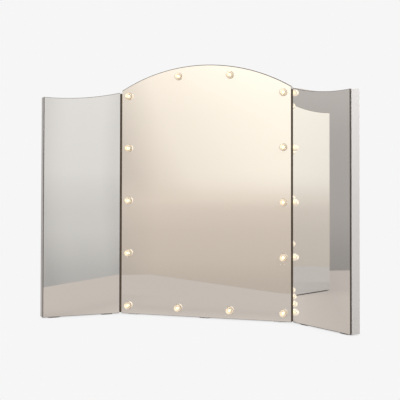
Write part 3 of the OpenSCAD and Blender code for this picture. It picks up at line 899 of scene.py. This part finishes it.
@dataclass
class ScrewSet:
    """The like screws of one node, each with a cross recess in its head."""

    node: str
    body: str
    axis: Vector
    head_r: float
    shank_r: float
    length: float
    head_t: float
    sunk: bool = False
    recess_reach: float = 0.95
    slot_share: float = 0.45
    recess_depth: float = 0.6
    recess_taper: float = 0.82
    tip_share: float = 0.2
    steps: int = 24

    def build(self, frame: dict) -> None:
        """Set a detailed screw in each screw's place.

        Args:
            frame: The loaded frame.
        """
        bm = bmesh.new()
        self.screw(bm)
        pattern = bpy.data.meshes.new("screw_pattern")
        bm.to_mesh(pattern)
        bm.clear()
        upright = self.axis.to_track_quat("Z", "Y").to_matrix().to_4x4()
        for place in solid_places(frame["nodes"][self.node], self.axis):
            seat = Matrix.Translation(place) @ upright
            pattern.transform(seat)
            bm.from_mesh(pattern)
            pattern.transform(seat.inverted())
        bpy.data.meshes.remove(pattern)
        new_piece(self.node + "_cross", bm, self.body, self.node, ZINC)

    def screw(self, bm: Mesh) -> None:
        """Shape one screw below z = 0, with its head's face at the top.

        Args:
            bm: An empty mesh.
        """
        reach = self.recess_reach * self.head_r
        bmesh.ops.create_grid(bm, x_segments=3, y_segments=3, size=reach / math.sqrt(2))
        for vert in bm.verts:
            for axis in (0, 1):
                vert.co[axis] *= self.slot_share if abs(vert.co[axis]) < reach / 3 else 1.0
        border = [e for e in bm.edges if e.is_boundary]
        cross = [f for f in bm.faces if min(abs(c) for c in f.calc_center_median()[:2]) < WELD]
        rim = bmesh.ops.create_circle(bm, cap_ends=False, segments=self.steps, radius=self.head_r)["verts"]
        ring = sorted({e for v in rim for e in v.link_edges}, key=lambda e: e.index)
        bmesh.ops.bridge_loops(bm, edges=border + ring)
        pushed = bmesh.ops.extrude_face_region(bm, geom=cross)
        floor = [g for g in pushed["geom"] if isinstance(g, Vert)]
        bmesh.ops.delete(bm, geom=cross, context="FACES")
        bmesh.ops.translate(bm, verts=floor, vec=(0, 0, -self.recess_depth * self.head_t))
        bmesh.ops.scale(bm, verts=floor, vec=(self.recess_taper, self.recess_taper, 1.0))
        self.drop(bm, rim)
        bmesh.ops.recalc_face_normals(bm, faces=bm.faces)

    def drop(self, bm: Mesh, rim: list[Vert]) -> None:
        """Draw the head's side, the shank and the tip down from the rim.

        Args:
            bm: The mesh under construction.
            rim: The rim's vertices.
        """
        neck = self.shank_r if self.sunk else self.head_r
        stops = [(neck, self.head_t), (self.shank_r, self.head_t), (self.shank_r, self.length - self.shank_r),
                 (self.tip_share * self.shank_r, self.length)]
        edges = [e for e in bm.edges if e.is_boundary and all(v in rim for v in e.verts)]
        size, depth = self.head_r, 0.0
        for radius, down in stops:
            made = bmesh.ops.extrude_edge_only(bm, edges=edges)["geom"]
            edges = [g for g in made if isinstance(g, Edge)]
            ends = [g for g in made if isinstance(g, Vert)]
            bmesh.ops.scale(bm, verts=ends, vec=(radius / size, radius / size, 1.0))
            bmesh.ops.translate(bm, verts=ends, vec=(0, 0, depth - down))
            size, depth = radius, down
        bmesh.ops.contextual_create(bm, geom=edges)
        bmesh.ops.remove_doubles(bm, verts=bm.verts, dist=WELD)


def screw_sets(frame: dict) -> list[ScrewSet]:
    """List the screws of the covers and the hinges.

    Args:
        frame: The loaded frame.

    Returns:
        One set for each node of screws.
    """
    sets = []
    for panel in Panel:
        sets.append(ScrewSet(
            panel.node("cover_screws"), panel.value, -panel.facing(frame), head_r=2.5 * MM,
            shank_r=1.25 * MM, length=11.9 * MM, head_t=0.95 * MM,
        ))
    for wing, side in ((Panel.LEFT, -1), (Panel.RIGHT, 1)):
        inwards = wing.facing(frame).cross(Vector((0, 0, 1))) * side
        for part, body, axis in (
            ("centre_screws", Panel.CENTRE.value, Vector((side, 0, 0))),
            ("wing_screws", wing.value, inwards),
        ):
            sets.append(ScrewSet(
                f"{wing.word}_hinge_{part}", body, axis, head_r=1.95 * MM, shank_r=1.0 * MM,
                length=7.9 * MM, head_t=0.9 * MM, sunk=True,
            ))
    return sets


@dataclass
class DryCell:
    """One cell with its sleeve, its crimped shoulders and its nub."""

    number: int
    nub_r: float = 2.75 * MM
    nub_h: float = 1.0 * MM
    crimp: float = 0.7 * MM
    soft: float = 0.3 * MM
    band: float = 0.28
    steps: int = 40

    def build(self) -> None:
        """Turn the cell about its axis."""
        node = f"battery_cell_{self.number}"
        low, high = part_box(node)
        middle = (low + high) / 2
        radius = (high.x - low.x) / 2
        length = high.z - low.z
        body = length - self.nub_h
        upright = self.number % 2 == 0
        stops = [(0.0, 0.0), (radius - 2 * self.crimp, 0.0), (radius - self.crimp, self.soft),
                 (radius, self.crimp), (radius, self.band * length), (radius, body - self.crimp),
                 (radius - self.crimp, body), (self.nub_r, body), (self.nub_r, length - self.soft),
                 (self.nub_r - self.soft, length), (0.0, length)]
        bm = bmesh.new()
        draw(bm, ((middle.x + out, middle.y, low.z + up if upright else high.z - up) for out, up in stops))
        turn(bm, middle, (0, 0, 1), self.steps)
        for face in bm.faces:
            spot = face.calc_center_median()
            up = spot.z - low.z if upright else high.z - spot.z
            out = math.hypot(spot.x - middle.x, spot.y - middle.y)
            face.material_index = 2 if out < radius - self.crimp else 1 if up < self.band * length else 0
        piece = new_piece(f"dry_cell_{self.number}", bm, Panel.CENTRE.value, node, SLEEVE, CELL_BAND, NICKEL)
        piece.data.set_sharp_from_angle(angle=SHARP)


@dataclass
class SwitchKnob:
    """The slide switch's knob, with grip ridges across its face."""

    ridges: int = 5
    ridge_h: float = 0.25 * MM

    def build(self) -> None:
        """Raise ridges on the knob's face."""
        low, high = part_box("switch_slider")
        size, middle = high - low, (low + high) / 2
        bm = bmesh.new()
        bmesh.ops.create_cube(bm, size=1.0)
        bmesh.ops.scale(bm, verts=bm.verts, vec=(size.x, size.y - self.ridge_h, size.z))
        bmesh.ops.translate(bm, verts=bm.verts, vec=middle - Vector((0, self.ridge_h / 2, 0)))
        across = [e for e in bm.edges if abs((e.verts[0].co - e.verts[1].co).normalized().x) > ALIGNED]
        bmesh.ops.subdivide_edges(bm, edges=across, cuts=2 * self.ridges, use_grid_fill=True)
        back = sorted((f for f in bm.faces if f.normal.y > ALIGNED), key=lambda f: f.calc_center_median().x)
        raised = bmesh.ops.extrude_discrete_faces(bm, faces=back[1::2])
        tops = {v for f in raised["faces"] for v in f.verts}
        bmesh.ops.translate(bm, verts=list(tops), vec=(0, self.ridge_h, 0))
        bmesh.ops.recalc_face_normals(bm, faces=bm.faces)
        new_piece("switch_knob", bm, "switch_slider", "switch_slider", BLACK_PLASTIC)


@dataclass
class InnerWorks:
    """The parts behind the mirrors that keep their construction meshes."""

    def dress(self, frame: dict) -> None:
        """Finish the boards, wires, battery compartment, switch, inlet and hinges.

        Args:
            frame: The loaded frame.
        """
        finishes = {
            "led_spacers": WHITE_PLASTIC, "driver_board": BOARD, "wiring_loom": WIRE,
            "switch_body": BLACK_PLASTIC, "power_inlet": NICKEL, "battery_tray": TRAY,
            "battery_contacts": NICKEL, "battery_door": COVER,
        }
        for edge in ("left", "right", "top", "bottom"):
            finishes[f"led_board_{edge}"] = LAMP_BOARD
        for side in ("left", "right"):
            for part in ("centre_leaf", "wing_leaf", "pin"):
                finishes[f"{side}_hinge_{part}"] = BRONZE
        for node, finish in finishes.items():
            paint(frame["nodes"][node], finish)


@dataclass(frozen=True)
class PhotographView:
    """The camera's place and turn, in the part's own frame."""

    place: Point = (0.534842, -1.768672, 0.306412)
    heading: float = math.radians(-17.204)
    pitch: float = math.radians(1.406)
    roll: float = math.radians(0.124)
    image_px: float = 400.0
    focal_px: float = 858.94
    level_px: float = 153.417
    sensor: float = 36.0

    def build(self) -> None:
        """Set up the scene's camera."""
        data = bpy.data.cameras.new("photograph_view")
        data.sensor_width = self.sensor
        data.lens = self.sensor * self.focal_px / self.image_px
        data.shift_y = (self.level_px - self.image_px / 2) / self.image_px
        ahead = Vector((
            math.sin(self.heading) * math.cos(self.pitch),
            math.cos(self.heading) * math.cos(self.pitch),
            math.sin(self.pitch),
        ))
        flat = Vector((math.cos(self.heading), -math.sin(self.heading), 0.0))
        right = Matrix.Rotation(-self.roll, 3, ahead) @ flat
        up = right.cross(ahead)
        turned = Matrix((right, up, -ahead)).transposed().to_4x4()
        camera = bpy.data.objects.new("photograph_view", data)
        camera.matrix_world = Matrix.Translation(self.place) @ turned
        bpy.context.scene.collection.objects.link(camera)
        bpy.context.scene.camera = camera


@dataclass(frozen=True)
class Wall:
    """A wall that a mirror shows, with its brightness from low to high."""

    colour: Colour
    tones: Tones

    def shade(self, sheet: NodeSheet, height: Socket) -> Socket:
        """Lay out the wall's colour over the height of the view's direction.

        Args:
            sheet: The world's nodes.
            height: The direction's height.

        Returns:
            The wall's colour.
        """
        return sheet.multiply(self.colour, sheet.ramp(height, self.tones))


AHEAD = Wall(srgb(226, 212, 197), (
    (-0.36, 0.75), (-0.16, 0.62), (-0.125, 0.655), (-0.1, 0.74), (-0.065, 0.793), (-0.03, 0.91), (0.0, 0.8),
    (0.03, 0.82), (0.068, 0.846), (0.09, 0.885), (0.125, 0.97), (0.2, 1.0),
))
TO_THE_LEFT = Wall(srgb(170, 165, 160), (
    (-0.36, 0.8), (-0.15, 0.7), (-0.109, 0.735), (-0.088, 0.79), (-0.065, 0.88), (-0.041, 0.95), (0.03, 1.0),
    (0.05, 1.03), (0.09, 1.17), (0.2, 1.2),
))
TO_THE_RIGHT = Wall(srgb(221, 218, 213), (
    (-0.36, 0.8), (-0.14, 0.57), (-0.111, 0.64), (-0.088, 0.737), (-0.065, 0.817), (-0.041, 0.84),
    (-0.018, 0.9), (0.005, 0.98), (0.09, 1.03), (0.2, 1.05),
))


@dataclass(frozen=True)
class RoomTone:
    """The room that the mirrors show: a warm wall ahead and greyer walls to the sides."""

    left_start: float = -0.342
    left_end: float = -0.506
    right_start: float = 0.2
    right_end: float = 0.6
    right_bands: Tones = (
        (0.74, 1.0), (0.771, 0.88), (0.779, 0.96), (0.787, 1.0), (0.811, 1.0), (0.82, 0.91), (0.86, 1.0),
    )
    glow_heading: float = math.radians(-5.0)
    glow_height: float = math.radians(16.0)
    glow_squash: float = 0.7
    glow_reach: float = math.radians(24.0)
    glow_colour: Colour = (1.0, 1.0, 0.88, 1.0)
    glow_tones: Tones = (
        (0.0, 0.4), (0.46, 0.372), (0.583, 0.317), (0.708, 0.245), (0.833, 0.054), (1.0, 0.0),
    )
    ledge_low: float = -0.045
    ledge_high: float = 0.005
    soft_light: float = 0.76
    haze: Colour = (0.036, 0.036, 0.036, 1.0)

    def build(self, mirror: Colour) -> None:
        """Lay out the world.

        Args:
            mirror: The mirror's own reflectance, which the tones make up for.
        """
        world = bpy.data.worlds.new("studio")
        bpy.context.scene.world = world
        world.use_nodes = True
        sheet = NodeSheet(world.node_tree)
        shown = sheet.multiply(self.room(sheet), tuple(1 / c for c in mirror[:3]) + (1.0,))
        seen, mirrored, soft = (
            sheet.add("Background", {"Color": colour, "Strength": strength}).outputs[0]
            for colour, strength in ((BACKDROP, 1.0), (shown, 1.0), (WHITE, self.soft_light))
        )
        rays = sheet.add("LightPath")
        direct = sheet.math("LESS_THAN", rays.outputs["Glossy Depth"], ONE_MIRROR)
        through = rays.outputs["Is Transmission Ray"]
        plain = sheet.math("MULTIPLY", direct, sheet.math("MAXIMUM", rays.outputs["Is Camera Ray"], through))
        glossy = sheet.math("MAXIMUM", rays.outputs["Is Glossy Ray"], through)
        inner = sheet.add("MixShader", {0: glossy, 1: soft, 2: mirrored}).outputs[0]
        outer = sheet.add("MixShader", {0: plain, 1: inner, 2: seen}).outputs[0]
        sheet.finish(outer, "OutputWorld")

    def room(self, sheet: NodeSheet) -> Socket:
        """Lay out the walls and the glow, less the haze that a mirror adds by itself.

        Args:
            sheet: The world's nodes.

        Returns:
            The room's colour.
        """
        split = sheet.add("SeparateXYZ", {"Vector": sheet.add("TexCoord").outputs["Generated"]})
        across, height = split.outputs["X"], split.outputs["Z"]
        to_left = sheet.span(across, self.left_end, self.left_start, 1.0, 0.0)
        to_right = sheet.span(across, self.right_start, self.right_end)
        ahead, left, right = (wall.shade(sheet, height) for wall in (AHEAD, TO_THE_LEFT, TO_THE_RIGHT))
        banded = sheet.multiply(right, sheet.ramp(across, self.right_bands))
        walls = sheet.mix(to_right, sheet.mix(to_left, ahead, left), banded)
        bright = sheet.mix(1.0, walls, self.glow(sheet, split), "ADD")
        return sheet.mix(1.0, bright, self.haze, "SUBTRACT")

    def glow(self, sheet: NodeSheet, split: bpy.types.Node) -> Socket:
        """Lay out a glow high ahead, which ends in a soft ledge.

        Args:
            sheet: The world's nodes.
            split: The view's direction by axis.

        Returns:
            The glow's colour.
        """
        across, height = split.outputs["X"], split.outputs["Z"]
        heading = sheet.math("ARCTAN2", across, sheet.math("MULTIPLY", split.outputs["Y"], -1.0))
        off = sheet.math("SUBTRACT", heading, self.glow_heading)
        above = sheet.math("SUBTRACT", sheet.math("ARCSINE", height), self.glow_height)
        apart = sheet.add("CombineXYZ", {"X": off, "Y": sheet.math("MULTIPLY", above, self.glow_squash)})
        angle = sheet.add("VectorMath", {0: apart.outputs[0]}, operation="LENGTH").outputs["Value"]
        spread = sheet.ramp(sheet.span(angle, 0.0, self.glow_reach), self.glow_tones)
        ledge = sheet.span(height, self.ledge_low, self.ledge_high, style="SMOOTHSTEP")
        return sheet.mix(ledge, BLACK, sheet.multiply(spread, self.glow_colour))


@dataclass(frozen=True)
class SoftLamp:
    """A soft square lamp that the mirrors don't show."""

    name: str
    place: Point
    aim: Point
    size: float
    watts: float

    def build(self) -> None:
        """Hang the lamp and turn it to its aim."""
        data = bpy.data.lights.new(self.name, "AREA")
        data.shape = "SQUARE"
        data.size = self.size
        data.energy = self.watts
        lamp = bpy.data.objects.new(self.name, data)
        lamp.location = self.place
        lamp.rotation_mode = "QUATERNION"
        lamp.rotation_quaternion = (Vector(self.aim) - Vector(self.place)).to_track_quat("-Z", "Y")
        lamp.visible_glossy = False
        lamp.visible_camera = False
        bpy.context.scene.collection.objects.link(lamp)


STUDIO_LAMPS = (
    SoftLamp("high_lamp", place=(-0.6, -0.9, 1.9), aim=(0.0, 0.0, 0.3), size=1.2, watts=8.0),
    SoftLamp("side_lamp", place=(0.75, -0.55, 0.85), aim=(0.33, -0.12, 0.4), size=0.35, watts=4.5),
    SoftLamp("rear_lamp", place=(0.6, 1.6, 0.6), aim=(0.0, 0.0, 0.3), size=0.8, watts=12.0),
)


@dataclass(frozen=True)
class Studio:
    """The pale floor, the table that the mirrors show, and the lamps."""

    floor_half: float = 6.0
    table_tone: Colour = srgb(197, 188, 180)
    table_lift: float = 0.05 * MM
    shadow_reach: float = 0.04
    bounce: Colour = srgb(160, 156, 152)
    floor_shade: Tones = ((0.0, 0.78), (0.25, 0.86), (0.5, 0.97), (0.75, 0.995), (1.0, 1.0))
    table_shade: Tones = ((0.0, 0.08), (0.3, 0.3), (0.5, 0.95), (1.0, 1.0))
    table_light: Tones = (
        (-0.26, 1.0), (-0.17, 0.99), (-0.12, 0.95), (-0.08, 0.99), (-0.055, 1.02), (-0.03, 1.1),
    )
    dim_tone: float = 0.9
    dim_x: float = -0.35
    clear_x: float = -0.2
    dim_y: float = -0.24
    clear_y: float = -0.3
    table_edge: tuple[tuple[float, float], ...] = (
        (-0.80, 0.60), (-0.80, -0.15), (-0.815, -0.21), (-0.47, -0.69), (-0.39, -0.73), (0.075, -0.445),
        (0.90, -0.432), (0.90, 0.60),
    )

    def build(self, mirror: Colour) -> None:
        """Set out the floor, the table and the lamps.

        Args:
            mirror: The mirror's own reflectance, which the table's tone makes up for.
        """
        self.floor()
        self.table(mirror)
        for lamp in STUDIO_LAMPS:
            lamp.build()

    @staticmethod
    def set_out(name: str, bm: Mesh) -> tuple[bpy.types.Object, NodeSheet]:
        """Add a studio piece to the scene, with an empty material of its own.

        Args:
            name: The piece's name.
            bm: Its mesh, which is freed.

        Returns:
            The piece and its material's nodes.
        """
        material = bpy.data.materials.new(name)
        material.use_nodes = True
        piece = new_object(name, bm, material)
        return piece, NodeSheet(material.node_tree)

    def floor(self) -> None:
        """Lay the pale floor, which keeps only a soft shadow."""
        bm = bmesh.new()
        bmesh.ops.create_grid(bm, x_segments=1, y_segments=1, size=self.floor_half)
        floor, sheet = self.set_out("pale_floor", bm)
        rays = sheet.add("LightPath")
        mirrored = sheet.math("GREATER_THAN", rays.outputs["Glossy Depth"], ONE_MIRROR)
        tone = sheet.mix(mirrored, BACKDROP, self.table_tone)
        shade = sheet.nook_shade(self.shadow_reach, self.floor_shade)
        seen = sheet.add("Emission", {"Color": sheet.multiply(shade, tone), "Strength": 1.0})
        lit = sheet.add("BsdfDiffuse", {"Color": self.bounce})
        shown = sheet.math("MAXIMUM", rays.outputs["Is Camera Ray"], rays.outputs["Is Transmission Ray"])
        sheet.finish(sheet.add("MixShader", {0: shown, 1: lit.outputs[0], 2: seen.outputs[0]}).outputs[0])
        floor.visible_glossy = False

    def table(self, mirror: Colour) -> None:
        """Lay the table's top, which only the mirrors show, a little dimmer close to the left wing.

        Args:
            mirror: The mirror's own reflectance.
        """
        bm = bmesh.new()
        corners = [bm.verts.new((x, y, self.table_lift)) for x, y in self.table_edge]
        bmesh.ops.contextual_create(bm, geom=corners)
        bmesh.ops.recalc_face_normals(bm, faces=bm.faces)
        table, sheet = self.set_out("table_top", bm)
        tone = tuple((c - h) / m for c, h, m in zip(self.table_tone[:3], RoomTone.haze, mirror)) + (1.0,)
        place = sheet.add("SeparateXYZ", {"Vector": sheet.place()})
        shaded = sheet.multiply(tone, sheet.nook_shade(self.shadow_reach, self.table_shade))
        lit = sheet.multiply(shaded, sheet.ramp(place.outputs["Y"], self.table_light))
        across = sheet.span(place.outputs["X"], self.dim_x, self.clear_x, self.dim_tone, 1.0)
        away = sheet.span(place.outputs["Y"], self.clear_y, self.dim_y, 1.0, 0.0)
        strength = sheet.math("MAXIMUM", across, away)
        sheet.finish(sheet.add("Emission", {"Color": lit, "Strength": strength}).outputs[0])
        for ray in ("camera", "diffuse", "transmission", "shadow", "volume_scatter"):
            setattr(table, "visible_" + ray, False)


def main() -> None:
    """Load the frame, then build and dress each sub-assembly in it."""
    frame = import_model()
    bpy.context.scene.view_settings.view_transform = "Standard"
    PhotographView().build()
    RoomTone().build(MIRROR.reflectance())
    Studio().build(MIRROR.reflectance())
    for mirror in MIRRORS:
        mirror.build(frame)
        mirror.dress(frame)
    for number in range(1, BULBS + 1):
        GlobeBulb(number).build()
    LampString().build()
    for screws in screw_sets(frame):
        screws.build(frame)
    for number in range(1, CELLS + 1):
        DryCell(number).build()
    SwitchKnob().build()
    InnerWorks().dress(frame)


if __name__ == "__main__":
    main()
